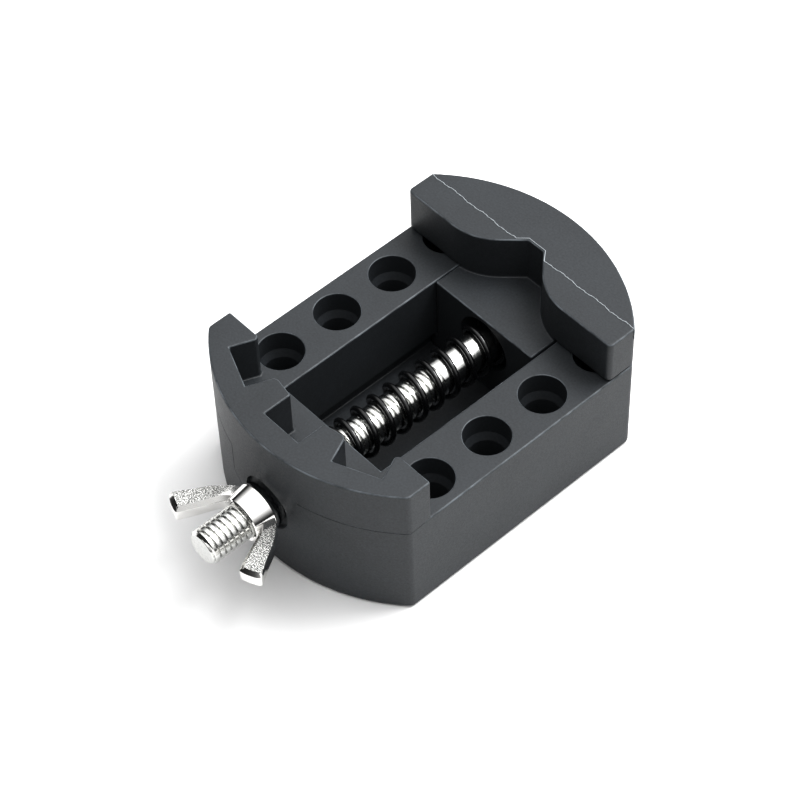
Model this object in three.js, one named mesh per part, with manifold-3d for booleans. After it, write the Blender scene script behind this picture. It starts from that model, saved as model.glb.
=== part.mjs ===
// Small screw-driven holding vise: a fixed body with two peg rails, a moving jaw that slides between
// the rails, a clamp bolt held by the moving jaw, a return spring on the bolt and a wing nut.
// Millimetres, +Z up. The origin is on the underside, at the centre of the circle that rounds both
// ends. Y runs along the bolt, with the wing nut at -Y and the moving jaw at +Y.
import * as THREE from "three";
import { mergeVertices } from "three/addons/utils/BufferGeometryUtils.js";
import Module from "manifold-3d";

const wasm = await Module();
wasm.setup();

// ---- driving dimensions ----------------------------------------------------------------------

const halfWidth = 22.5; // the two side flats
const endRadius = 32.3; // one circle rounds both ends
const railTop = 19.1;
const jawTop = 27.7;
const gap = 0.3; // clearance between separate pieces

const floorTop = 3.0;
const wellHalfWidth = 11.0;
const wellNearY = -18.5;
const guideDepth = 1.5; // undercut of each rail's foot, where the moving jaw is held down
const guideTop = 6.6;

const pegX = 17.0;
const pegFirstY = -14.1;
const pegPitch = 11.65;
const pegRows = 4;
const pegMouthRadius = 3.75;
const pegMouthDepth = 3.8;
const pegRadius = 3.0;
const pegConeDepth = 5.0; // a cone joins the wide mouth to the narrow hole
const pegFloor = 7.5;

const boltZ = 13.1;
const boltRadius = 3.0; // M6
const boltEndY = -44.8;
const boltChamfer = 0.6;
const headSeatY = 25.2; // the underside of the head
const headHeight = 4.0;
const headAcrossFlats = 10.0;

const nutSeatY = -31.3; // floor of the round recess in the near wall
const nutSeatRadius = 4.7;

const tongueFrontY = 12.95;
const jawFrontY = 17.85;
const noseStartX = 12.15; // where the moving jaw's straight front starts to turn into its notch
const noseRadius = 10.4;
const noseSweep = THREE.MathUtils.degToRad(46);
const notchHalfWidth = 1.6;

const springSeatRadius = 5.1;
const springSeatY = 17.0;
const springMeanRadius = 3.9;
const wireRadius = 0.42;
const springTurns = 10.9;
const closedTurns = 0.8; // at each end

const hubCollarRadius = 4.3;
const hubCollarY = -33.7; // the collar's front edge
const hubTopRadius = 3.8;
const hubFrontY = -37.2;
const wingThickness = 3.1;

// Half of the fixed jaw's front, from the middle notch out to the tip: two teeth and three notches.
const fixedJawFront = [
  [3.8, -28.0],
  [3.75, -22.9],
  [7.3, -22.3],
  [8.0, -22.6],
  [9.75, -26.7],
  [17.2, -23.6],
  [15.45, -19.6],
  [15.9, -18.95],
  [halfWidth, -18.95],
];

// One wing of the nut seen from above, from the root's back to the root's front.
const wingOutline = [
  [3.0, -33.2],
  [4.7, -33.9],
  [5.9, -35.1],
  [7.6, -37.2],
  [10.6, -41.5],
  [10.4, -42.2],
  [7.7, -43.6],
  [7.1, -43.3],
  [5.2, -39.2],
  [3.0, -36.2],
];

const arcSteps = 18;
const roundSides = 32;

const flatEndY = Math.sqrt(endRadius ** 2 - halfWidth ** 2);
const flatAngle = Math.atan2(flatEndY, halfWidth);

// ---- solids ----------------------------------------------------------------------------------

function solid(geometry) {
  geometry.deleteAttribute("normal");
  geometry.deleteAttribute("uv");
  const merged = mergeVertices(geometry, 1e-4);
  const mesh = new wasm.Mesh({
    numProp: 3,
    vertProperties: new Float32Array(merged.attributes.position.array),
    triVerts: new Uint32Array(merged.index.array),
  });
  return new wasm.Manifold(mesh);
}

function geometryOf(manifold) {
  const mesh = manifold.getMesh();
  const geometry = new THREE.BufferGeometry();
  const positions = new THREE.BufferAttribute(new Float32Array(mesh.vertProperties), 3);
  geometry.setAttribute("position", positions);
  geometry.setIndex(new THREE.BufferAttribute(new Uint32Array(mesh.triVerts), 1));
  geometry.computeVertexNormals();
  return geometry;
}

function box(x0, x1, y0, y1, z0, z1) {
  const geometry = new THREE.BoxGeometry(x1 - x0, y1 - y0, z1 - z0);
  geometry.translate((x0 + x1) / 2, (y0 + y1) / 2, (z0 + z1) / 2);
  return solid(geometry);
}

// A flat outline raised from z0 to z1.
function raised(shape, z0, z1) {
  const geometry = new THREE.ExtrudeGeometry(shape, {
    depth: z1 - z0,
    bevelEnabled: false,
    curveSegments: arcSteps,
  });
  geometry.translate(0, 0, z0);
  return solid(geometry);
}

function uprightCylinder(radius, x, y, z0, z1, bottomRadius = radius) {
  const geometry = new THREE.CylinderGeometry(radius, bottomRadius, z1 - z0, roundSides);
  geometry.rotateX(Math.PI / 2);
  geometry.translate(x, y, (z0 + z1) / 2);
  return solid(geometry);
}

// A cylinder along the bolt; fewer sides make the hexagon of a head or its pocket.
function boltwiseCylinder(radius, y0, y1, sides = roundSides) {
  const geometry = new THREE.CylinderGeometry(radius, radius, y1 - y0, sides);
  geometry.translate(0, (y0 + y1) / 2, boltZ);
  return solid(geometry);
}

// A [radius, y] profile turned about the bolt's axis.
function turned(profile) {
  const points = profile.map(([r, y]) => new THREE.Vector2(r, y));
  const geometry = new THREE.LatheGeometry(points, roundSides);
  geometry.translate(0, 0, boltZ);
  return solid(geometry);
}

function hexRadius(acrossFlats) {
  return acrossFlats / Math.sqrt(3);
}

function union(first, ...others) {
  return others.reduce((whole, piece) => whole.add(piece), first);
}

function cut(first, ...others) {
  return others.reduce((whole, piece) => whole.subtract(piece), first);
}

// ---- outlines --------------------------------------------------------------------------------

function bodyOutline() {
  const shape = new THREE.Shape();
  shape.moveTo(halfWidth, -flatEndY);
  shape.lineTo(halfWidth, flatEndY);
  shape.absarc(0, 0, endRadius, flatAngle, Math.PI - flatAngle, false);
  shape.lineTo(-halfWidth, -flatEndY);
  shape.absarc(0, 0, endRadius, Math.PI + flatAngle, 2 * Math.PI - flatAngle, false);
  return shape;
}

function fixedJawOutline() {
  const shape = new THREE.Shape();
  shape.moveTo(-halfWidth, -flatEndY);
  shape.absarc(0, 0, endRadius, Math.PI + flatAngle, 2 * Math.PI - flatAngle, false);
  for (const [x, y] of [...fixedJawFront].reverse()) shape.lineTo(x, y);
  for (const [x, y] of fixedJawFront) shape.lineTo(-x, y);
  return shape;
}

// The straight front turns through an arc into a straight-sided notch with a narrow flat bottom.
function movingJawOutline() {
  const arcEndX = noseStartX - noseRadius * Math.sin(noseSweep);
  const arcEndY = jawFrontY + noseRadius * (1 - Math.cos(noseSweep));
  const notchY = arcEndY + (arcEndX - notchHalfWidth) * Math.tan(noseSweep);
  const noseY = jawFrontY + noseRadius;
  const down = -Math.PI / 2;
  const shape = new THREE.Shape();
  shape.moveTo(halfWidth, jawFrontY);
  shape.lineTo(halfWidth, flatEndY);
  shape.absarc(0, 0, endRadius, flatAngle, Math.PI - flatAngle, false);
  shape.lineTo(-halfWidth, jawFrontY);
  shape.absarc(-noseStartX, noseY, noseRadius, down, down + noseSweep, false);
  shape.lineTo(-notchHalfWidth, notchY);
  shape.lineTo(notchHalfWidth, notchY);
  shape.absarc(noseStartX, noseY, noseRadius, down - noseSweep, down, false);
  return shape;
}

// ---- pieces ----------------------------------------------------------------------------------

function makeFixedBody() {
  const past = endRadius + 1;
  const block = raised(bodyOutline(), 0, railTop);
  const jaw = raised(fixedJawOutline(), railTop - 1, jawTop);
  const well = box(-wellHalfWidth, wellHalfWidth, wellNearY, past, floorTop, railTop + 1);
  const guideX = wellHalfWidth + guideDepth;
  const guides = box(-guideX, guideX, wellNearY, past, floorTop, guideTop);
  const boltHole = boltwiseCylinder(boltRadius + gap, -past, wellNearY + 1);
  const nutSeat = boltwiseCylinder(nutSeatRadius, -past, nutSeatY);
  const pegHoles = [];
  for (const x of [-pegX, pegX]) {
    for (let row = 0; row < pegRows; row++) {
      const y = pegFirstY + row * pegPitch;
      const mouthFloor = railTop - pegMouthDepth;
      const coneFloor = railTop - pegConeDepth;
      pegHoles.push(
        uprightCylinder(pegMouthRadius, x, y, mouthFloor, railTop + 1),
        uprightCylinder(pegMouthRadius, x, y, coneFloor, mouthFloor, pegRadius),
        uprightCylinder(pegRadius, x, y, pegFloor, railTop),
      );
    }
  }
  return cut(union(block, jaw), well, guides, boltHole, nutSeat, ...pegHoles);
}

function makeMovingJaw() {
  const past = endRadius + 1;
  const tongueX = wellHalfWidth - gap;
  const footX = tongueX + guideDepth;
  const bottom = floorTop + gap;
  const slabBottom = railTop + gap;
  const slab = raised(movingJawOutline(), slabBottom, jawTop);
  const neck = raised(movingJawOutline(), railTop - 0.5, slabBottom + 0.5).intersect(
    box(-tongueX, tongueX, 0, past, 0, jawTop),
  );
  const tongueBlank = union(
    box(-tongueX, tongueX, tongueFrontY, past, bottom, railTop),
    box(-footX, footX, tongueFrontY, past, bottom, guideTop - gap),
  );
  const tongue = tongueBlank.intersect(raised(bodyOutline(), 0, jawTop));
  const springSeat = boltwiseCylinder(springSeatRadius, tongueFrontY - 1, springSeatY);
  const boltHole = boltwiseCylinder(boltRadius + gap, springSeatY - 1, headSeatY);
  const pocketRadius = hexRadius(headAcrossFlats) + 2 * gap;
  const headPocket = boltwiseCylinder(pocketRadius, headSeatY - gap, past, 6);
  return cut(union(slab, neck, tongue), springSeat, boltHole, headPocket);
}

function makeClampBolt() {
  const shank = turned([
    [0, boltEndY],
    [boltRadius - boltChamfer, boltEndY],
    [boltRadius, boltEndY + boltChamfer],
    [boltRadius, headSeatY + 1],
    [0, headSeatY + 1],
  ]);
  const head = boltwiseCylinder(hexRadius(headAcrossFlats), headSeatY, headSeatY + headHeight, 6);
  return union(shank, head);
}

// A helix about the bolt: the end turns lie wire against wire, the turns between are even.
class SpringCurve extends THREE.Curve {
  getPoint(t, target = new THREE.Vector3()) {
    const turn = t * springTurns;
    const startY = wellNearY + gap + wireRadius;
    const endY = springSeatY - gap - wireRadius;
    const closedRise = 2.1 * wireRadius;
    const openTurns = springTurns - 2 * closedTurns;
    const openRise = (endY - startY - 2 * closedTurns * closedRise) / openTurns;
    const opened = THREE.MathUtils.clamp(turn - closedTurns, 0, openTurns);
    const y = startY + (turn - opened) * closedRise + opened * openRise;
    const angle = 2 * Math.PI * turn;
    return target.set(
      springMeanRadius * Math.cos(angle),
      y,
      boltZ + springMeanRadius * Math.sin(angle),
    );
  }
}

function makeReturnSpring() {
  const section = new THREE.Shape();
  section.absarc(0, 0, wireRadius, 0, 2 * Math.PI, false);
  return solid(
    new THREE.ExtrudeGeometry(section, {
      steps: Math.round(springTurns * 14),
      curveSegments: 4,
      extrudePath: new SpringCurve(),
    }),
  );
}

function makeWingNut() {
  const bore = boltRadius + gap;
  const baseY = nutSeatY - gap;
  const hub = turned([
    [0, hubFrontY],
    [hubTopRadius, hubFrontY],
    [hubCollarRadius, hubCollarY],
    [hubCollarRadius, baseY],
    [0, baseY],
  ]);
  const wings = [-1, 1].map((side) => {
    const shape = new THREE.Shape(wingOutline.map(([x, y]) => new THREE.Vector2(side * x, y)));
    return raised(shape, boltZ - wingThickness / 2, boltZ + wingThickness / 2);
  });
  return cut(union(hub, ...wings), boltwiseCylinder(bore, hubFrontY - 1, baseY + 1));
}

// ---- assembly --------------------------------------------------------------------------------

const blackAbs = new THREE.MeshStandardMaterial({ color: 0x50555b, roughness: 0.6, metalness: 0 });
const zincSteel = new THREE.MeshStandardMaterial({ color: 0xd5d6d3, roughness: 0.25, metalness: 1 });
const castZinc = new THREE.MeshStandardMaterial({ color: 0xc9cac6, roughness: 0.35, metalness: 1 });
const blackWire = new THREE.MeshStandardMaterial({ color: 0x17181a, roughness: 0.3, metalness: 0.8 });

const pieces = [
  ["fixed_body", makeFixedBody(), blackAbs],
  ["moving_jaw", makeMovingJaw(), blackAbs],
  ["clamp_bolt", makeClampBolt(), zincSteel],
  ["return_spring", makeReturnSpring(), blackWire],
  ["wing_nut", makeWingNut(), castZinc],
];

const vise = new THREE.Group();
for (const [name, made, material] of pieces) {
  const mesh = new THREE.Mesh(geometryOf(made), material);
  mesh.name = name;
  vise.add(mesh);
}

export default vise;
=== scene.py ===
import math

import bmesh
import bpy
import numpy as np
from mathutils import Matrix, Vector


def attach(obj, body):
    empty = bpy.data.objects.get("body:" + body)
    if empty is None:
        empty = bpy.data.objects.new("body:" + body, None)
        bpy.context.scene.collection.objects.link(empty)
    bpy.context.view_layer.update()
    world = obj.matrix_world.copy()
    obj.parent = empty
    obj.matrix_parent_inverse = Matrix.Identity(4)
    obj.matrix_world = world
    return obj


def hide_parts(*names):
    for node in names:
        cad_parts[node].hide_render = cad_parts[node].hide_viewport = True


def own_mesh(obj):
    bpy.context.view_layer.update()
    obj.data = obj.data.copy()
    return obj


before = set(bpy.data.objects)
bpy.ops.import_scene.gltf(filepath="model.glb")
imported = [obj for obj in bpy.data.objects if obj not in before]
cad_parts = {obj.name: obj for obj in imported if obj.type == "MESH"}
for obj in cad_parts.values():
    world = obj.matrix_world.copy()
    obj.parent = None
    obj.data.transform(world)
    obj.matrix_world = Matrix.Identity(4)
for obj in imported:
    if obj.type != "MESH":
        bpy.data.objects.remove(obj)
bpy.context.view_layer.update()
print("frame loaded")

# Everything is modelled in millimetres and brought down to metres when a piece is placed.
metresPerMm = 0.001
turn = 2 * math.pi


cameraSetup = {
    "location": (197.3, -174.4, 335.6),
    "target": (11.4, -14.6, 32.9),
    "roll": -2.257,  # degrees
    "lens": 120.4,
    "sensor": 36.0,
}


def placeCamera(setup):
    data = bpy.data.cameras.new("camera")
    data.lens = setup["lens"]
    data.sensor_width = setup["sensor"]
    camera = bpy.data.objects.new("camera", data)
    bpy.context.scene.collection.objects.link(camera)
    eye = Vector(setup["location"]) * metresPerMm
    back = (eye - Vector(setup["target"]) * metresPerMm).normalized()
    right = Vector((0, 0, 1)).cross(back).normalized()
    up = back.cross(right)
    spin = Matrix.Rotation(math.radians(setup["roll"]), 3, back)
    axes = Matrix((spin @ right, spin @ up, back)).transposed()
    camera.matrix_world = Matrix.Translation(eye) @ axes.to_4x4()
    bpy.context.scene.camera = camera


placeCamera(cameraSetup)


def linearColour(hexColour):
    values = [int(hexColour[i:i + 2], 16) / 255 for i in (0, 2, 4)]
    return [v / 12.92 if v <= 0.04045 else ((v + 0.055) / 1.055) ** 2.4 for v in values] + [1.0]


def addNode(tree, kind, settings, inputs):
    # settings are the node's own properties; an input is a fixed value, or another node's output to link
    node = tree.nodes.new(kind)
    for key, value in settings.items():
        setattr(node, key, value)
    for key, value in inputs.items():
        if isinstance(value, bpy.types.NodeSocket):
            tree.links.new(value, node.inputs[key])
        else:
            node.inputs[key].default_value = value
    return node


def newMaterial(name):
    # an empty tree with its output, and the Object coordinates in metres
    material = bpy.data.materials.new(name)
    material.use_nodes = True
    tree = material.node_tree
    tree.nodes.clear()
    output = addNode(tree, "ShaderNodeOutputMaterial", {}, {})
    coords = addNode(tree, "ShaderNodeTexCoord", {}, {}).outputs["Object"]
    return material, tree, output, coords


def perMetre(sizeMm):
    return 1 / (sizeMm * metresPerMm)


noiseSpan = (0.3, 0.7)  # nearly all of a noise pattern's values lie between these


mouldedAbs = {
    "dark": "292c2f",
    "light": "373b3f",
    "edgeHighlight": "6d7378",
    "flash": "a5aaae",
    "ior": 1.50,
    "grainMm": 0.24,  # a spark-eroded mould leaves about 0.05 mm, drawn coarser so that it shows
    "grainDepth": 0.020,
    "speckMm": 0.36,
    "speckTint": (-0.25, 0.35),  # added to the clouds' share of the light colour
    "cloudMm": 12.0,
    "cloudTint": (0.25, 0.65),  # from dark 0 to light 1
    "sinkMm": 8.0,
    "sinkDepth": 0.10,
    "rough": (0.42, 0.56),
    "flashAbove": 27.725,  # the bead of flash stands proud of the jaw's top and of its right side
    "flashBeside": 22.53,
    # painted highlight: the upward-turned middle of the rounded edges above the rails is painted paler,
    # standing in for the light they catch, broken into patches
    "edgeHighlightPatchMm": 2.5,
    "edgeHighlightSpan": (0.35, 0.65),  # noise values between which the painted edge highlight goes from its faintest to its strongest
    "edgeHighlightShare": (0.15, 0.95),
    "edgeHighlightTurn": (0.62, 0.30),  # upward part of the normal on a rounded top edge, where the highlight is painted: its middle and half spread
    "filletAt": (19.34, 0.20),  # height and half height of the hollow corners on the rails, which stay dark: no painted highlight there
    "edgeHighlightAbove": 18.0,
}


def makeMouldedAbs(name, spec):
    # Injection-moulded ABS from a spark-eroded mould: a fine matte grain, a slight satin sheen,
    # faint flow clouds in the colour, very shallow sink marks, a painted highlight on the rounded top edges
    # and whitened flash
    material, tree, output, coords = newMaterial(name)
    clouds = addNode(tree, "ShaderNodeTexNoise", {}, {
        "Vector": coords, "Scale": perMetre(spec["cloudMm"]), "Detail": 3.0, "Roughness": 0.55})
    specks = addNode(tree, "ShaderNodeTexNoise", {}, {
        "Vector": coords, "Scale": perMetre(spec["speckMm"]), "Detail": 2.0})
    grain = addNode(tree, "ShaderNodeTexNoise", {}, {
        "Vector": coords, "Scale": perMetre(spec["grainMm"]), "Detail": 3.0, "Roughness": 0.6})
    sink = addNode(tree, "ShaderNodeTexNoise", {}, {
        "Vector": coords, "Scale": perMetre(spec["sinkMm"]), "Detail": 1.0})
    cloudTint = addNode(tree, "ShaderNodeMapRange", {}, {
        "Value": clouds.outputs["Fac"], "From Min": noiseSpan[0], "From Max": noiseSpan[1],
        "To Min": spec["cloudTint"][0], "To Max": spec["cloudTint"][1]})
    tint = addNode(tree, "ShaderNodeMapRange", {"clamp": False}, {
        "Value": specks.outputs["Fac"], "From Min": noiseSpan[0], "From Max": noiseSpan[1],
        "To Min": spec["speckTint"][0], "To Max": spec["speckTint"][1]})
    bothTints = addNode(tree, "ShaderNodeMath", {"operation": "ADD", "use_clamp": True}, {
        0: cloudTint.outputs["Result"], 1: tint.outputs["Result"]})
    plastic = addNode(tree, "ShaderNodeMix", {"data_type": "RGBA"}, {
        "Factor": bothTints.outputs["Value"],
        "A": linearColour(spec["dark"]), "B": linearColour(spec["light"])})
    place = addNode(tree, "ShaderNodeSeparateXYZ", {}, {"Vector": coords})
    above = addNode(tree, "ShaderNodeMath", {"operation": "GREATER_THAN"}, {
        0: place.outputs["Z"], 1: spec["flashAbove"] * metresPerMm})
    beside = addNode(tree, "ShaderNodeMath", {"operation": "GREATER_THAN"}, {
        0: place.outputs["X"], 1: spec["flashBeside"] * metresPerMm})
    proud = addNode(tree, "ShaderNodeMath", {"operation": "MAXIMUM"}, {
        0: above.outputs["Value"], 1: beside.outputs["Value"]})
    facing = addNode(tree, "ShaderNodeSeparateXYZ", {}, {
        "Vector": addNode(tree, "ShaderNodeTexCoord", {}, {}).outputs["Normal"]})
    # painted highlight: where the normal turns partly upward on a rounded edge, above the rails and outside
    # the hollow corners
    onEdge = addNode(tree, "ShaderNodeMath", {"operation": "COMPARE"}, {
        0: facing.outputs["Z"], 1: spec["edgeHighlightTurn"][0], 2: spec["edgeHighlightTurn"][1]})
    inFillet = addNode(tree, "ShaderNodeMath", {"operation": "COMPARE"}, {
        0: place.outputs["Z"], 1: spec["filletAt"][0] * metresPerMm, 2: spec["filletAt"][1] * metresPerMm})
    highUp = addNode(tree, "ShaderNodeMath", {"operation": "GREATER_THAN"}, {
        0: place.outputs["Z"], 1: spec["edgeHighlightAbove"] * metresPerMm})
    highlightable = addNode(tree, "ShaderNodeMath", {"operation": "SUBTRACT", "use_clamp": True}, {
        0: highUp.outputs["Value"], 1: inFillet.outputs["Value"]})
    patches = addNode(tree, "ShaderNodeTexNoise", {}, {
        "Vector": coords, "Scale": perMetre(spec["edgeHighlightPatchMm"]), "Detail": 3.0})
    patchy = addNode(tree, "ShaderNodeMapRange", {}, {
        "Value": patches.outputs["Fac"],
        "From Min": spec["edgeHighlightSpan"][0], "From Max": spec["edgeHighlightSpan"][1],
        "To Min": spec["edgeHighlightShare"][0], "To Max": spec["edgeHighlightShare"][1]})
    edge = addNode(tree, "ShaderNodeMath", {"operation": "MULTIPLY"}, {
        0: onEdge.outputs["Value"], 1: highlightable.outputs["Value"]})
    paintedHighlight = addNode(tree, "ShaderNodeMath", {"operation": "MULTIPLY"}, {
        0: edge.outputs["Value"], 1: patchy.outputs["Result"]})
    # the painted edge highlight mixed into the plastic's colour
    edgeHighlightPlastic = addNode(tree, "ShaderNodeMix", {"data_type": "RGBA"}, {
        "Factor": paintedHighlight.outputs["Value"], "A": plastic.outputs["Result"], "B": linearColour(spec["edgeHighlight"])})
    colour = addNode(tree, "ShaderNodeMix", {"data_type": "RGBA"}, {
        "Factor": proud.outputs["Value"],
        "A": edgeHighlightPlastic.outputs["Result"], "B": linearColour(spec["flash"])})
    roughness = addNode(tree, "ShaderNodeMapRange", {}, {
        "Value": grain.outputs["Fac"], "From Min": noiseSpan[0], "From Max": noiseSpan[1],
        "To Min": spec["rough"][0], "To Max": spec["rough"][1]})
    waves = addNode(tree, "ShaderNodeBump", {}, {
        "Height": sink.outputs["Fac"], "Distance": spec["sinkDepth"] * metresPerMm})
    relief = addNode(tree, "ShaderNodeBump", {}, {
        "Height": grain.outputs["Fac"], "Distance": spec["grainDepth"] * metresPerMm,
        "Normal": waves.outputs["Normal"]})
    shader = addNode(tree, "ShaderNodeBsdfPrincipled", {}, {
        "Base Color": colour.outputs["Result"], "Roughness": roughness.outputs["Result"],
        "Normal": relief.outputs["Normal"], "IOR": spec["ior"]})
    tree.links.new(shader.outputs["BSDF"], output.inputs["Surface"])
    return material


platedSteel = {
    "dark": "b9bab8",
    "light": "f0f0ee",
    "scratchMm": 0.5,
    "stretch": 7.0,  # the scratches are this many times longer round the bolt than along it
    "scratchDepth": 0.004,
    "rough": (0.10, 0.24),
}


def makePlatedSteel(name, spec):
    # Rolled steel thread, bright zinc plated: mirror-like, with faint rolling scratches round it
    material, tree, output, coords = newMaterial(name)
    stretched = addNode(tree, "ShaderNodeMapping", {}, {
        "Vector": coords, "Scale": (1.0, spec["stretch"], 1.0)})
    scratches = addNode(tree, "ShaderNodeTexNoise", {}, {
        "Vector": stretched.outputs["Vector"], "Scale": perMetre(spec["scratchMm"]), "Detail": 3.0,
        "Roughness": 0.6})
    colour = addNode(tree, "ShaderNodeMix", {"data_type": "RGBA"}, {
        "Factor": scratches.outputs["Fac"],
        "A": linearColour(spec["dark"]), "B": linearColour(spec["light"])})
    roughness = addNode(tree, "ShaderNodeMapRange", {}, {
        "Value": scratches.outputs["Fac"], "From Min": noiseSpan[0], "From Max": noiseSpan[1],
        "To Min": spec["rough"][0], "To Max": spec["rough"][1]})
    relief = addNode(tree, "ShaderNodeBump", {}, {
        "Height": scratches.outputs["Fac"], "Distance": spec["scratchDepth"] * metresPerMm})
    shader = addNode(tree, "ShaderNodeBsdfPrincipled", {}, {
        "Base Color": colour.outputs["Result"], "Roughness": roughness.outputs["Result"],
        "Normal": relief.outputs["Normal"], "Metallic": 1.0})
    tree.links.new(shader.outputs["BSDF"], output.inputs["Surface"])
    return material


castZinc = {
    "dark": "474846",
    "light": "dcdcda",
    "bright": "ecebe9",
    "grainMm": 0.20,
    "skinDepth": 0.085,  # the wings' level faces keep the casting's skin, the rest is tumbled smooth
    "smoothDepth": 0.004,
    "skinFrom": 4.5,  # mm out from the bolt's axis plane where the skin starts
    "skinBy": 5.3,
    "levelSpan": (0.85, 0.95),  # upward or downward part of the normal where a face counts as level
    "speckleSpan": (0.35, 0.62),  # noise values between the dark specks and the light ones
    "rough": (0.10, 0.24),  # smooth, skin
}


def makeCastZinc(name, spec):
    # Die-cast zinc, nickel plated: a bright smooth hub, and wings with the sparkling grain of the casting
    material, tree, output, coords = newMaterial(name)
    grain = addNode(tree, "ShaderNodeTexNoise", {}, {
        "Vector": coords, "Scale": perMetre(spec["grainMm"]), "Detail": 3.0, "Roughness": 0.65})
    place = addNode(tree, "ShaderNodeSeparateXYZ", {}, {"Vector": coords})
    outwards = addNode(tree, "ShaderNodeMath", {"operation": "ABSOLUTE"}, {0: place.outputs["X"]})
    beyondHub = addNode(tree, "ShaderNodeMapRange", {}, {
        "Value": outwards.outputs["Value"], "From Min": spec["skinFrom"] * metresPerMm,
        "From Max": spec["skinBy"] * metresPerMm})
    facing = addNode(tree, "ShaderNodeSeparateXYZ", {}, {
        "Vector": addNode(tree, "ShaderNodeTexCoord", {}, {}).outputs["Normal"]})
    tilt = addNode(tree, "ShaderNodeMath", {"operation": "ABSOLUTE"}, {0: facing.outputs["Z"]})
    level = addNode(tree, "ShaderNodeMapRange", {}, {
        "Value": tilt.outputs["Value"],
        "From Min": spec["levelSpan"][0], "From Max": spec["levelSpan"][1]})
    skin = addNode(tree, "ShaderNodeMath", {"operation": "MULTIPLY"}, {
        0: beyondHub.outputs["Result"], 1: level.outputs["Result"]})
    depth = addNode(tree, "ShaderNodeMapRange", {}, {
        "Value": skin.outputs["Value"], "To Min": spec["smoothDepth"] * metresPerMm,
        "To Max": spec["skinDepth"] * metresPerMm})
    height = addNode(tree, "ShaderNodeMath", {"operation": "MULTIPLY"}, {
        0: grain.outputs["Fac"], 1: depth.outputs["Result"]})
    relief = addNode(tree, "ShaderNodeBump", {}, {"Height": height.outputs["Value"], "Distance": 1.0})
    contrast = addNode(tree, "ShaderNodeMapRange", {}, {
        "Value": grain.outputs["Fac"],
        "From Min": spec["speckleSpan"][0], "From Max": spec["speckleSpan"][1]})
    speckled = addNode(tree, "ShaderNodeMix", {"data_type": "RGBA"}, {
        "Factor": contrast.outputs["Result"],
        "A": linearColour(spec["dark"]), "B": linearColour(spec["light"])})
    colour = addNode(tree, "ShaderNodeMix", {"data_type": "RGBA"}, {
        "Factor": skin.outputs["Value"], "A": linearColour(spec["bright"]), "B": speckled.outputs["Result"]})
    roughness = addNode(tree, "ShaderNodeMapRange", {}, {
        "Value": skin.outputs["Value"], "To Min": spec["rough"][0], "To Max": spec["rough"][1]})
    shader = addNode(tree, "ShaderNodeBsdfPrincipled", {}, {
        "Base Color": colour.outputs["Result"], "Roughness": roughness.outputs["Result"],
        "Normal": relief.outputs["Normal"], "Metallic": 1.0})
    tree.links.new(shader.outputs["BSDF"], output.inputs["Surface"])
    return material


blackOxide = {
    "dark": "0b0b0c",
    "light": "1c1d1f",
    "grainMm": 0.25,
    "grainDepth": 0.004,
    "rough": (0.18, 0.32),
    "metallic": 0.6,  # an oxide film over the steel
    "oilRough": 0.12,
}


def makeBlackOxide(name, spec):
    # Music wire, black oxide under oil: nearly black, glossy, with faint drawing lines
    material, tree, output, coords = newMaterial(name)
    grain = addNode(tree, "ShaderNodeTexNoise", {}, {
        "Vector": coords, "Scale": perMetre(spec["grainMm"]), "Detail": 3.0, "Roughness": 0.6})
    colour = addNode(tree, "ShaderNodeMix", {"data_type": "RGBA"}, {
        "Factor": grain.outputs["Fac"], "A": linearColour(spec["dark"]), "B": linearColour(spec["light"])})
    roughness = addNode(tree, "ShaderNodeMapRange", {}, {
        "Value": grain.outputs["Fac"], "From Min": noiseSpan[0], "From Max": noiseSpan[1],
        "To Min": spec["rough"][0], "To Max": spec["rough"][1]})
    relief = addNode(tree, "ShaderNodeBump", {}, {
        "Height": grain.outputs["Fac"], "Distance": spec["grainDepth"] * metresPerMm})
    shader = addNode(tree, "ShaderNodeBsdfPrincipled", {}, {
        "Base Color": colour.outputs["Result"], "Roughness": roughness.outputs["Result"],
        "Normal": relief.outputs["Normal"], "Metallic": spec["metallic"],
        "Coat Weight": 1.0, "Coat Roughness": spec["oilRough"]})
    tree.links.new(shader.outputs["BSDF"], output.inputs["Surface"])
    return material


tableLaminate = {"dark": "f4f4f4", "light": "f8f8f8", "cloudMm": 60.0, "rough": 0.8, "specular": 0.1}


def makeTableLaminate(name, spec):
    # matt white table laminate, with a barely visible unevenness
    material, tree, output, coords = newMaterial(name)
    clouds = addNode(tree, "ShaderNodeTexNoise", {}, {"Vector": coords, "Scale": perMetre(spec["cloudMm"])})
    colour = addNode(tree, "ShaderNodeMix", {"data_type": "RGBA"}, {
        "Factor": clouds.outputs["Fac"],
        "A": linearColour(spec["dark"]), "B": linearColour(spec["light"])})
    shader = addNode(tree, "ShaderNodeBsdfPrincipled", {}, {
        "Base Color": colour.outputs["Result"], "Roughness": spec["rough"],
        "Specular IOR Level": spec["specular"]})
    tree.links.new(shader.outputs["BSDF"], output.inputs["Surface"])
    return material


materials = {
    "body_plastic": makeMouldedAbs("mouldedSlateAbs", mouldedAbs),
    "bolt_steel": makePlatedSteel("brightPlatedSteel", platedSteel),
    "nut_zinc": makeCastZinc("platedZincCasting", castZinc),
    "spring_wire": makeBlackOxide("blackOxideWire", blackOxide),
}
print("materials made")


def meshObject(name, vertices, faces):
    mesh = bpy.data.meshes.new(name)
    mesh.from_pydata(np.asarray(vertices, float).tolist(), [], faces)
    mesh.validate()
    made = bpy.data.objects.new(name, mesh)
    bpy.context.scene.collection.objects.link(made)
    return made


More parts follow.
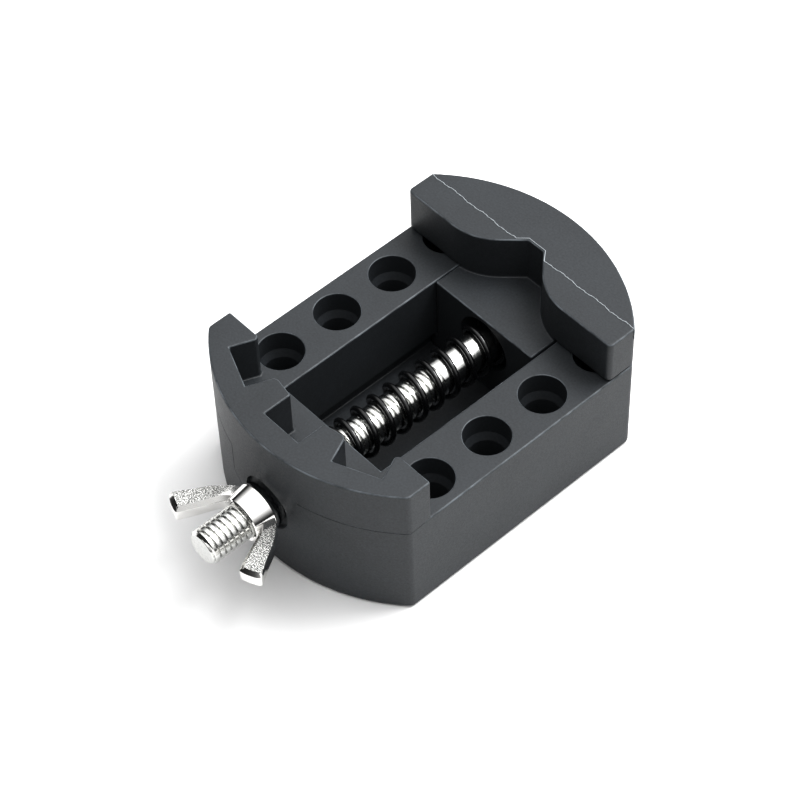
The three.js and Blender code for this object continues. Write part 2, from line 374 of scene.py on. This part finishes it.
def gridQuads(rows, columns, closed):
    # vertex r * columns + c joins its right and upper neighbours; closed joins the last column to the first
    spanned = columns if closed else columns - 1
    r, c = np.meshgrid(np.arange(rows - 1), np.arange(spanned), indexing="ij")
    after = (c + 1) % columns
    low, high = r * columns, (r + 1) * columns
    quads = np.stack([low + c, low + after, high + after, high + c], -1)
    return quads.reshape(-1, 4).tolist()


def loopSolid(name, loops):
    # loops (levels, points, 3): each level's closed loop joins the next, and flat caps close both ends
    loops = np.asarray(loops, float)
    levels, points = loops.shape[:2]
    caps = [list(range(points))[::-1], list(range((levels - 1) * points, levels * points))]
    return meshObject(name, loops.reshape(-1, 3), gridQuads(levels, points, True) + caps)


def prism(name, outline, low, high, axis="z"):
    # an outline (points, 2) carried straight from low to high; along y the outline is read as x and z
    outline = np.asarray(outline, float)
    heights = np.repeat(np.array([low, high], float)[:, None], len(outline), 1)[..., None]
    flat = np.broadcast_to(outline, (2, *outline.shape))
    if axis == "y":
        return loopSolid(name, np.concatenate([flat[..., :1], heights, flat[..., 1:]], -1))
    return loopSolid(name, np.concatenate([flat, heights], -1))


def boxOutline(x0, x1, y0, y1):
    return [(x0, y0), (x1, y0), (x1, y1), (x0, y1)]


def fixNormals(made):
    work = bmesh.new()
    work.from_mesh(made.data)
    bmesh.ops.recalc_face_normals(work, faces=work.faces)
    work.to_mesh(made.data)
    work.free()
    return made


def bakeModifiers(made):
    graph = bpy.context.evaluated_depsgraph_get()
    finished = bpy.data.meshes.new_from_object(made.evaluated_get(graph))
    made.modifiers.clear()
    made.data = finished
    return made


def combine(target, operation, *tools):
    for tool in tools:
        splitFaces(fixNormals(tool))
        step = target.modifiers.new("combine", "BOOLEAN")
        step.operation, step.solver, step.object = operation, "MANIFOLD", tool
        bakeModifiers(target)
        bpy.data.objects.remove(tool)
    return target


def cleanFlats(made, mergeMm=0.002, flatDegrees=0.2):
    work = bmesh.new()
    work.from_mesh(made.data)
    bmesh.ops.remove_doubles(work, verts=work.verts, dist=mergeMm)
    bmesh.ops.dissolve_limit(work, angle_limit=math.radians(flatDegrees), verts=work.verts, edges=work.edges)
    work.to_mesh(made.data)
    work.free()
    return made


def splitFaces(made):
    # triangles only, so that later cuts meet no warped many-sided face
    work = bmesh.new()
    work.from_mesh(made.data)
    bmesh.ops.triangulate(work, faces=work.faces)
    work.to_mesh(made.data)
    work.free()
    return made


def roundEdges(made, width, segments=4, angle=30.0):
    step = made.modifiers.new("roundEdges", "BEVEL")
    step.width, step.segments = width, segments
    step.limit_method, step.angle_limit = "ANGLE", math.radians(angle)
    step.use_clamp_overlap = False
    return splitFaces(bakeModifiers(made))


def finishPiece(made, slot, body, nodes, smoothAngle=27.0):
    # scaled to metres in the mesh, smooth across gentle turns, flat faces kept flat by weighted normals
    made.data.transform(Matrix.Scale(metresPerMm, 4))
    made.data.materials.clear()
    made.data.materials.append(materials[slot])
    made.data.shade_smooth()
    made.data.set_sharp_from_angle(angle=math.radians(smoothAngle))
    weigh = made.modifiers.new("weighFlats", "WEIGHTED_NORMAL")
    weigh.keep_sharp, weigh.weight = True, 60
    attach(made, body)
    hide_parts(*nodes)
    return made


def turnedSolid(name, profile, centre, axis="z", sides=96):
    # profile (points, 2) of radius and height turned about an axis through centre, with flat ends
    profile = np.asarray(profile, float)
    angles = np.arange(sides) * turn / sides
    radius, height = profile[:, :1], np.repeat(profile[:, 1:], sides, 1)
    across, aside = radius * np.cos(angles), radius * np.sin(angles)
    if axis == "y":
        loops = np.stack([centre[0] + across, height, centre[1] - aside], -1)
    else:
        loops = np.stack([centre[0] + across, centre[1] + aside, height], -1)
    return loopSolid(name, loops)


def quarterArc(centre, radius, fromDegrees, toDegrees, steps):
    # points centre + radius * (cos a, sin a), a going evenly from one angle to the other
    a = np.radians(np.linspace(fromDegrees, toDegrees, steps + 1))
    return np.stack([centre[0] + radius * np.cos(a), centre[1] + radius * np.sin(a)], -1)


def tube(name, path, radius, sides=12):
    # a circle carried along a path: side and up vectors are square to the path's tangent
    path = np.asarray(path, float)
    tangent = np.gradient(path, axis=0)
    tangent /= np.linalg.norm(tangent, axis=1, keepdims=True)
    helper = np.where(np.abs(tangent[:, 2:]) > 0.9, [[0.0, 1.0, 0.0]], [[0.0, 0.0, 1.0]])
    side = np.cross(tangent, helper)
    side /= np.linalg.norm(side, axis=1, keepdims=True)
    up = np.cross(side, tangent)
    a = np.arange(sides) * turn / sides
    radii = np.broadcast_to(np.asarray(radius, float), (len(path),))[:, None, None]
    ring = np.cos(a)[None, :, None] * side[:, None] + np.sin(a)[None, :, None] * up[:, None]
    return loopSolid(name, path[:, None] + radii * ring)


shape = {
    "halfWidth": 22.5,
    "endRadius": 32.3,
    "cornerRadius": 1.3,
    "railTop": 19.1,
    "jawTop": 27.7,
    "boltZ": 13.1,
    "gap": 0.3,
    "edge": 0.32,  # radius of the small moulded edges
}
farOut = 45.0  # cutters reach this far past the body


def bodyOutline(inset=0.0, marks=(), arcSteps=64, cornerSteps=8):
    # two flats at +-halfWidth, two arcs of endRadius, joined by corner arcs; inset moves all of it inwards;
    # each mark is a half width at which the arcs have a point of their own, in place of any even one near it
    corner = shape["cornerRadius"]
    across = shape["halfWidth"] - corner
    along = math.sqrt((shape["endRadius"] - corner) ** 2 - across ** 2)
    touch = math.degrees(math.atan2(along, across))
    small, large = corner - inset, shape["endRadius"] - inset
    step = (180 - 2 * touch) / arcSteps
    marks = np.array([mark * side for mark in marks for side in (-1, 1)])
    marked = np.degrees(np.arccos(marks / shape["endRadius"]))
    even = np.linspace(touch, 180 - touch, arcSteps + 1)[1:-1]
    clear = np.all(np.abs(even[:, None] - marked) > 0.6 * step, axis=1)
    a = np.radians(np.sort(np.concatenate([even[clear], marked])))
    farArc = large * np.stack([np.cos(a), np.sin(a)], -1)
    farRight = quarterArc((across, along), small, 0, touch, cornerSteps)
    farLeft = quarterArc((-across, along), small, 180 - touch, 180, cornerSteps)
    upper = np.concatenate([farRight, farArc, farLeft])
    return np.concatenate([upper, -upper])


def mirrored(points):
    # right half, from the middle outwards, with its mirror image before it
    points = np.asarray(points, float)
    left = points[::-1] * [-1, 1]
    return np.concatenate([left[left[:, 0] < -1e-6], points])


fixedBody = {
    "bottomRadius": 0.7,
    "wellHalf": 11.0,
    "wellNear": -18.5,
    "floorTop": 3.0,
    "guideHalf": 12.5,
    "guideTop": 6.6,
    # half of the jaw's front: middle notch, first tooth, side notch, tip
    "front": [(3.8, -28.0), (3.75, -22.9), (7.3, -22.3), (8.0, -22.6), (9.75, -26.7),
              (17.2, -23.6), (15.45, -19.6), (15.9, -18.95), (farOut, -18.95)],
    "pegX": 17.0,
    "pegY": -14.1 + 11.65 * np.arange(4),
    "pegMouth": 3.75,
    "pegRadius": 3.0,
    "mouthDepth": 3.8,
    "coneDepth": 5.0,
    "pegFloor": 7.5,
    "pegEdge": 0.2,
    "boltHole": 3.3,
    "nutRecess": 4.7,
    "nutRecessFloor": -31.3,
    "recessFlare": [(0.0, -31.9), (0.075, -32.1), (0.25, -32.4), (0.25, -farOut)],  # wider by, at y
    "partingZ": 18.8,  # the mould's parting line runs just under the rails' top
    "partingLeftZ": 18.4,
    "partingRightX": 6.8,
    "partingLeftX": -8.5,
    "partingTipY": -18.9,  # where it leaves each flat over the rail's top edge
    "partingStepZ": 12.3,  # the foot of its step down by the nut
    "partingSlantX": -4.8,  # the slant's end behind the nut
    "partingSlantZ": (12.0, 10.6),
    "partingRadius": 0.085,
}


def nearWall(xFrom, xTo):
    # the outline's points along the near end, left to right, between two x
    lower = -bodyOutline(arcSteps=160)
    lower = lower[:len(lower) // 2]
    return lower[(lower[:, 0] >= xFrom) & (lower[:, 0] <= xTo)]


def partingPaths():
    # each half of the near end has a line at its own height, which leaves the flat over the rail's top;
    # the left one steps down beside the nut, and slants on behind it
    b, wall, top = fixedBody, shape["halfWidth"], shape["railTop"] + 0.1
    right = nearWall(b["partingRightX"], farOut)
    left = nearWall(-farOut, b["partingLeftX"])
    rightPath = np.column_stack([right, np.full(len(right), b["partingZ"])])
    rightPath = np.concatenate([rightPath, [(wall, b["partingTipY"], top)]])
    leftPath = np.column_stack([left, np.full(len(left), b["partingLeftZ"])])
    stepZ = np.linspace(b["partingLeftZ"] - 0.3, b["partingStepZ"], 12)
    down = np.column_stack([np.full(12, left[-1, 0]), np.full(12, left[-1, 1]), stepZ])
    slantX = np.linspace(left[-1, 0] + 0.1, b["partingSlantX"], 8)
    slantY = -np.sqrt(shape["endRadius"] ** 2 - slantX ** 2)
    slant = np.column_stack([slantX, slantY, np.linspace(*b["partingSlantZ"], 8)])
    leftPath = np.concatenate([[(-wall, b["partingTipY"], top)], leftPath, down, slant])
    return rightPath, leftPath


def pegCutter(x, y):
    # narrow hole, cone, wide mouth, then a quarter round that opens onto the rail
    top, flare = shape["railTop"], fixedBody["pegEdge"]
    mouth = fixedBody["pegMouth"]
    rim = quarterArc((mouth + flare, top - flare), flare, 180, 97, 5)
    past = rim[-1] + (rim[-1] - rim[-2]) * 1.2
    profile = np.concatenate([
        [(fixedBody["pegRadius"], fixedBody["pegFloor"]),
         (fixedBody["pegRadius"], top - fixedBody["coneDepth"]),
         (mouth, top - fixedBody["mouthDepth"])],
        rim, [past, (past[0], top + 2)]])
    return turnedSolid("pegCutter", profile, (x, y))


def makeFixedBody():
    # the outline carried up from a quarter-round foot; the space over the rails and the well with its slots
    # are cut out before the edges are rounded, the holes and the parting lines after it
    b, s = fixedBody, shape
    foot = quarterArc((b["bottomRadius"], b["bottomRadius"]), b["bottomRadius"], 270, 180, 5)
    levels = np.concatenate([foot, [(0.0, s["jawTop"])]])
    outlines = [bodyOutline(inset, (b["wellHalf"], b["guideHalf"])) for inset in levels[:, 0]]
    loops = [np.column_stack([line, np.full(len(line), z)]) for line, z in zip(outlines, levels[:, 1])]
    body = fixNormals(loopSolid("fixed_body", loops))
    front = np.concatenate([mirrored(b["front"]), [(farOut, farOut), (-farOut, farOut)]])
    well = [(-b["wellHalf"], farOut), (-b["wellHalf"], b["guideTop"]), (-b["guideHalf"], b["guideTop"]),
            (-b["guideHalf"], b["floorTop"]), (b["guideHalf"], b["floorTop"]),
            (b["guideHalf"], b["guideTop"]), (b["wellHalf"], b["guideTop"]), (b["wellHalf"], farOut)]
    combine(body, "DIFFERENCE",
            prism("frontCutter", front, s["railTop"], farOut),
            prism("wellCutter", well, b["wellNear"], farOut, "y"))
    roundEdges(cleanFlats(body), s["edge"])
    recess = [(b["nutRecess"], b["nutRecessFloor"])]
    recess += [(b["nutRecess"] + wider, y) for wider, y in b["recessFlare"]]
    hole = [(b["boltHole"], b["wellNear"] + 2), (b["boltHole"], b["nutRecessFloor"] - 0.2)]
    combine(body, "DIFFERENCE",
            turnedSolid("recessCutter", recess, (0, s["boltZ"]), "y"),
            turnedSolid("holeCutter", hole, (0, s["boltZ"]), "y"),
            *[pegCutter(side * b["pegX"], y) for side in (-1, 1) for y in b["pegY"]],
            *[tube("partingCutter", path, b["partingRadius"], 8) for path in partingPaths()])
    return finishPiece(body, "body_plastic", "body", ["fixed_body"])


makeFixedBody()
print("fixed body made")


movingJaw = {
    "frontY": 17.85,
    "noseX": 12.15,
    "noseRadius": 10.4,
    "noseSweep": 46.0,
    "notchHalf": 1.6,
    "cornerRadius": 0.9,  # the front's two upright corners
    "tongueFront": 12.95,
    "tongueReach": {-1: 10.9, 1: 10.65},  # the loose jaw rests over to the left, inside its clearance
    "footHalf": 12.2,
    "footTop": 6.3,
    "bottom": 3.3,
    "seatRadius": 5.1,
    "seatY": 17.0,
    "seatBevel": 0.15,
    "boltHole": 3.3,
    "headFlats": 10.0,
    "headSeat": 25.2,
    "flashY": 23.0,
    "flashRadius": 0.075,
    "flashRise": 0.01,  # its middle stands this far above the jaw's top
    "flashDrop": 2.2,  # how far it runs down the right flat
    "flashFrom": 3.2,  # where it leaves the notch's rim
    # its wander: size in mm, turns in radians per mm, shift in radians per side
    "flashWander": [(0.10, 0.9, 1), (0.06, 2.7, 2), (0.03, 7.1, 0)],
    "flashSwell": [(0.18, 0.9), (0.14, 2.3)],  # share of its radius, turn from one point to the next
}


def flashPath(notchY):
    # one bead of mould flash across the top, round the notch's rim, and down the right side: its line and
    # its thickness wander as sums of sines
    j, top = movingJaw, shape["jawTop"]
    level = top + j["flashRise"]
    x = np.linspace(j["flashFrom"], shape["halfWidth"] - 0.05, 110)
    sides = []
    for side in (-1, 1):
        wander = sum(size * np.sin(x * turns + shift * side) for size, turns, shift in j["flashWander"])
        sides.append(np.column_stack([side * x, j["flashY"] + wander, np.full(len(x), level)]))
    rimX, rimY = j["notchHalf"] + 0.2, notchY + shape["edge"]
    rim = [(-rimX, rimY, level), (0, rimY, level), (rimX, rimY, level)]
    z = np.linspace(top - 0.15, top - j["flashDrop"], 12)
    down = np.column_stack([np.full(12, shape["halfWidth"]), np.full(12, sides[1][-1, 1]), z])
    path = np.concatenate([sides[0][::-1], rim, sides[1][:-1], down])
    count = np.arange(len(path))
    swell = sum(share * np.sin(count * turns) for share, turns in j["flashSwell"])
    return path, j["flashRadius"] * (1 + swell)


def makeMovingJaw():
    # the outline carried straight up; what is left of it is the slab behind the noses, the tongue between
    # the rails and its two feet. The noses are arcs, joined to the notch along their end tangents
    j, s = movingJaw, shape
    outline = bodyOutline(0.0, (j["tongueReach"][1], j["tongueReach"][-1], j["footHalf"]))
    jaw = fixNormals(prism("moving_jaw", outline, j["bottom"], s["jawTop"]))
    sweep = math.radians(j["noseSweep"])
    arc = quarterArc((j["noseX"], j["frontY"] + j["noseRadius"]), j["noseRadius"],
                     270 - j["noseSweep"], 270, 20)
    notchY = arc[0, 1] + (arc[0, 0] - j["notchHalf"]) * math.tan(sweep)
    corner = j["cornerRadius"]
    end = quarterArc((s["halfWidth"] - corner, j["frontY"] + corner), corner, 270, 360, 6)
    half = np.concatenate([[(j["notchHalf"], notchY)], arc, end, [(farOut, end[-1, 1])]])
    front = np.concatenate([[(-farOut, -farOut), (farOut, -farOut)], mirrored(half)[::-1]])
    under = s["railTop"] + s["gap"]
    cutters = [prism("frontCutter", front, s["railTop"], farOut),
               prism("nearCutter", boxOutline(-farOut, farOut, -farOut, j["tongueFront"]), -farOut, farOut)]
    for side, reach in j["tongueReach"].items():
        rail = np.array([(reach, under), (farOut, under), (farOut, -1), (j["footHalf"], -1),
                         (j["footHalf"], j["footTop"]), (reach, j["footTop"])])
        cutters.append(prism("railCutter", rail * [side, 1], -farOut, farOut, "y"))
    combine(jaw, "DIFFERENCE", *cutters)
    roundEdges(cleanFlats(jaw), s["edge"])
    wide = j["seatRadius"] + j["seatBevel"]
    seat = [(j["seatRadius"], j["seatY"]), (j["seatRadius"], j["tongueFront"] + j["seatBevel"]),
            (wide, j["tongueFront"] - 0.1), (wide, 0)]
    hole = [(j["boltHole"], j["headSeat"]), (j["boltHole"], j["seatY"] - 0.5)]
    pocketRadius = j["headFlats"] / math.sqrt(3) + 2 * s["gap"]
    pocket = [(pocketRadius, j["headSeat"] - s["gap"]), (pocketRadius, farOut)]
    combine(jaw, "DIFFERENCE",
            turnedSolid("seatCutter", seat, (0, s["boltZ"]), "y"),
            turnedSolid("holeCutter", hole, (0, s["boltZ"]), "y"),
            turnedSolid("pocketCutter", pocket, (0, s["boltZ"]), "y", 6))
    combine(jaw, "UNION", tube("flash", *flashPath(notchY), 8))
    return finishPiece(jaw, "body_plastic", "jaw", ["moving_jaw"])


makeMovingJaw()
print("moving jaw made")


clampBolt = {
    "radius": 3.0,
    "pitch": 1.0,
    "threadDepth": 0.42,
    "rootShare": 0.14,
    "flankShare": 0.24,
    "endY": -44.8,
    "endChamfer": 0.5,
    "threadEndY": 1.6,
    "runOut": 1.5,
    "shankY": 10.0,  # one loop of points on the plain shank
    "shankEndY": 25.2,
    "headHeight": 4.0,
    "headFlats": 10.0,
    "headChamfer": 0.5,
    "headCone": 60.0,  # degrees
    "smoothAngle": 35.0,
    "rowsPerPitch": 16,
    "columns": 72,
}


def makeClampBolt():
    # radius at (angle, y): a 60 degree thread whose phase is y / pitch - angle / turn, cut off by the end's
    # chamfer cone, fading into the plain shank; the head's radius is a hexagon cut off by a chamfer cone
    c = clampBolt
    angles = np.arange(c["columns"]) * turn / c["columns"]
    rows = int((c["threadEndY"] + c["runOut"] - c["endY"]) * c["rowsPerPitch"] / c["pitch"])
    threadY = np.linspace(c["endY"], c["threadEndY"] + c["runOut"], rows)
    shankY = np.array([c["shankY"], c["shankEndY"] - 0.3, c["shankEndY"]])
    y = np.concatenate([threadY, shankY])[:, None]
    phase = (y / c["pitch"] - angles / turn) % 1.0
    ramp = np.clip((np.abs(phase - 0.5) * 2 - c["rootShare"]) / c["flankShare"], 0, 1)  # 0 root, 1 crest
    depth = c["threadDepth"] * (1 - ramp)
    fade = np.clip((c["threadEndY"] + c["runOut"] - y) / c["runOut"], 0, 1)
    radius = c["radius"] - depth * fade
    radius = np.minimum(radius, c["radius"] - c["endChamfer"] + (y - c["endY"]))
    headFace = (angles + turn / 12) % (turn / 6) - turn / 12
    hexagon = c["headFlats"] / 2 / np.cos(headFace)
    corner = c["headFlats"] / math.sqrt(3)
    headEnd = c["shankEndY"] + c["headHeight"]
    slope = math.tan(math.radians(c["headCone"]))
    rise = np.linspace(0.0, c["headChamfer"], 6)
    headY = np.concatenate([[c["shankEndY"]], c["shankEndY"] + rise, headEnd - rise[::-1]])[:, None]
    lowCone = corner - c["headChamfer"] + (headY - c["shankEndY"]) * slope
    highCone = corner - c["headChamfer"] + (headEnd - headY) * slope
    head = np.minimum(hexagon, np.minimum(lowCone, highCone))
    allY = np.concatenate([y, headY])
    allRadius = np.concatenate([radius, head])
    z = shape["boltZ"] - allRadius * np.sin(angles)
    x = allRadius * np.cos(angles)
    bolt = loopSolid("clamp_bolt", np.stack([x, np.broadcast_to(allY, x.shape), z], -1))
    fixNormals(bolt)
    return finishPiece(bolt, "bolt_steel", "jaw", ["clamp_bolt"], c["smoothAngle"])


makeClampBolt()
print("clamp bolt made")


returnSpring = {
    "meanRadius": 3.72,
    "wireRadius": 0.48,
    "turns": 11.2,
    "closedTurns": 0.8,
    "closedPitch": 2.1,  # rise of one closed turn, in wire radii
    "startY": -17.78,
    "endY": 16.28,
    "stepsPerTurn": 40,
    "sides": 14,
    "smoothAngle": 50.0,
    "keep": 0.284,  # length at the closed jaw over length at the open jaw
    "fixedEnd": (0.0, -18.2, 13.1),
}


def makeReturnSpring():
    # a circle of the wire's radius carried along a helix whose end turns lie wire against wire
    w = returnSpring
    steps = int(w["turns"] * w["stepsPerTurn"])
    turns = np.linspace(0, w["turns"], steps + 1)
    closedRise = w["closedPitch"] * w["wireRadius"]
    openTurns = w["turns"] - 2 * w["closedTurns"]
    openRise = (w["endY"] - w["startY"] - 2 * w["closedTurns"] * closedRise) / openTurns
    opened = np.clip(turns - w["closedTurns"], 0, openTurns)
    y = w["startY"] + (turns - opened) * closedRise + opened * openRise
    a = turns * turn
    path = np.stack([w["meanRadius"] * np.cos(a), y, shape["boltZ"] + w["meanRadius"] * np.sin(a)], -1)
    outward = np.stack([np.cos(a), np.zeros_like(a), np.sin(a)], -1)
    tangent = np.gradient(path, axis=0)
    tangent /= np.linalg.norm(tangent, axis=1, keepdims=True)
    beside = np.cross(tangent, outward)
    ring = np.arange(w["sides"]) * turn / w["sides"]
    circle = np.cos(ring)[None, :, None] * outward[:, None] + np.sin(ring)[None, :, None] * beside[:, None]
    spring = fixNormals(loopSolid("return_spring", path[:, None] + w["wireRadius"] * circle))
    finishPiece(spring, "spring_wire", "body", ["return_spring"], w["smoothAngle"])
    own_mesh(spring)
    return spring


makeReturnSpring()
print("return spring made")


wingNut = {
    # radius and y: a tapered hub, its collar, and the neck behind it
    "hub": [(3.65, -37.2), (3.8, -37.05), (4.25, -34.0), (4.3, -33.7), (4.2, -33.55), (3.6, -31.6)],
    "bore": 3.1,
    "boreChamfer": 0.45,
    "thickness": 3.1,
    "chamfer": 0.62,
    "backShare": 0.22,  # the chamfer on the wings' back edges, as a share of it
    "smoothAngle": 30.0,
    "levels": [(1.0, 0.0), (0.0, 1.0), (-0.03, 1.3)],  # inset, and depth under the face, in chamfers
    "outline": [(2.2, -33.0), (4.7, -34.0), (5.9, -35.1), (7.3, -36.7), (8.0, -37.8), (9.2, -39.8),
                (10.5, -41.8), (10.3, -42.5), (9.0, -43.2), (7.6, -43.6), (7.1, -43.2), (6.0, -41.0),
                (5.2, -39.2), (4.1, -37.0), (2.2, -35.2)],
}


def smoothLoop(points, perSpan=6):
    # closed Catmull-Rom curve: each span blends its four neighbours with the standard cubic weights
    p = np.asarray(points, float)
    before, after, later = np.roll(p, 1, 0), np.roll(p, -1, 0), np.roll(p, -2, 0)
    t = (np.arange(perSpan) / perSpan)[None, :, None]
    p0, p1, p2, p3 = (q[:, None] for q in (before, p, after, later))
    curve = 0.5 * (2 * p1 + (p2 - p0) * t + (2 * p0 - 5 * p1 + 4 * p2 - p3) * t ** 2
                   + (3 * p1 - p0 - 3 * p2 + p3) * t ** 3)
    return curve.reshape(-1, 2)


def outwardNormals(loop):
    # square to the chord between each point's two neighbours, turned outwards by the sign of the area
    chord = np.roll(loop, -1, 0) - np.roll(loop, 1, 0)
    normal = np.stack([chord[:, 1], -chord[:, 0]], -1)
    area = np.sum(loop[:, 0] * np.roll(loop[:, 1], -1) - np.roll(loop[:, 0], -1) * loop[:, 1])
    return normal / np.linalg.norm(normal, axis=1, keepdims=True) * np.sign(area)


def makeWing(side):
    # level by level the outline moves inwards by the chamfer, full on its front edge and small on its back
    n = wingNut
    loop = smoothLoop(n["outline"])
    normals = outwardNormals(loop)
    facing = np.clip(0.5 - 0.9 * normals[:, 1:], 0, 1)
    share = n["backShare"] + (1 - n["backShare"]) * facing * facing * (3 - 2 * facing)
    half, c = n["thickness"] / 2, n["chamfer"]
    steps = [(inset, drop * c - half) for inset, drop in n["levels"]]
    steps += [(inset, half - drop * c) for inset, drop in n["levels"][::-1]]
    loops = [np.column_stack([(loop - normals * share * c * inset) * [side, 1],
                              np.full(len(loop), shape["boltZ"] + z)]) for inset, z in steps]
    return loopSolid("wing", loops)


def makeWingNut():
    # the hub turned about the bolt's axis, joined to the two wings, then bored
    n = wingNut
    frontY, backY = n["hub"][0][1], n["hub"][-1][1]
    core = [(1.0, frontY)] + n["hub"] + [(1.0, backY)]
    nut = fixNormals(turnedSolid("wing_nut", core, (0, shape["boltZ"]), "y"))
    combine(nut, "UNION", makeWing(1), makeWing(-1))
    wide = n["bore"] + n["boreChamfer"] + 0.15
    bore = [(wide, frontY - 9.0), (wide, frontY - 0.15), (n["bore"], frontY + n["boreChamfer"]),
            (n["bore"], backY + 1)]
    combine(nut, "DIFFERENCE", turnedSolid("boreCutter", bore, (0, shape["boltZ"]), "y"))
    return finishPiece(nut, "nut_zinc", "nut", ["wing_nut"], n["smoothAngle"])


makeWingNut()
print("wing nut made")


studio = {
    "floorHalf": 900.0,
    "aimHeight": 15.0,
    "tentTop": (0.05, 0.30, 0.95),  # the brightest part of the light tent, above and behind the vise
    "tentFrom": 0.15,  # cosine to tentTop where the glow begins
    "tentTo": 1.0,
    "tentDark": 0.04,
    "tentBright": 2.25,
    "gamma": 0.80,
    "softboxes": {
        # name: (place, size, power)
        "keyBox": ((110.0, 260.0, 480.0), 260.0, 2.2),
    },
}


def makeFloor():
    half = studio["floorHalf"] * metresPerMm
    floor = meshObject("floor", [(-half, -half, 0), (half, -half, 0), (half, half, 0), (-half, half, 0)],
                       [[0, 1, 2, 3]])
    floor.data.materials.append(makeTableLaminate("whiteTable", tableLaminate))


def addSoftbox(name, place, size, power):
    light = bpy.data.lights.new(name, "AREA")
    light.energy, light.size = power, size * metresPerMm
    lamp = bpy.data.objects.new(name, light)
    bpy.context.scene.collection.objects.link(lamp)
    lamp.location = Vector(place) * metresPerMm
    aim = Vector((0, 0, studio["aimHeight"])) * metresPerMm - lamp.location
    lamp.rotation_euler = aim.to_track_quat("-Z", "Y").to_euler()


def lightStudio():
    # a light tent whose glow falls off with the angle from its brightest part, and one softbox
    world = bpy.data.worlds.new("studio")
    bpy.context.scene.world = world
    world.use_nodes = True
    tree = world.node_tree
    direction = addNode(tree, "ShaderNodeTexCoord", {}, {}).outputs["Generated"]
    towards = addNode(tree, "ShaderNodeVectorMath", {"operation": "DOT_PRODUCT"}, {
        0: direction, 1: studio["tentTop"]})
    glow = addNode(tree, "ShaderNodeMapRange", {"interpolation_type": "SMOOTHSTEP"}, {
        "Value": towards.outputs["Value"], "From Min": studio["tentFrom"], "From Max": studio["tentTo"],
        "To Min": studio["tentDark"], "To Max": studio["tentBright"]})
    background = tree.nodes["Background"]
    background.inputs["Color"].default_value = (1.0, 1.0, 1.0, 1.0)
    tree.links.new(glow.outputs["Result"], background.inputs["Strength"])
    for name, (place, size, power) in studio["softboxes"].items():
        addSoftbox(name, place, size, power)
    bpy.context.scene.view_settings.view_transform = "Standard"
    bpy.context.scene.view_settings.gamma = studio["gamma"]


makeFloor()
lightStudio()
print("studio lit")
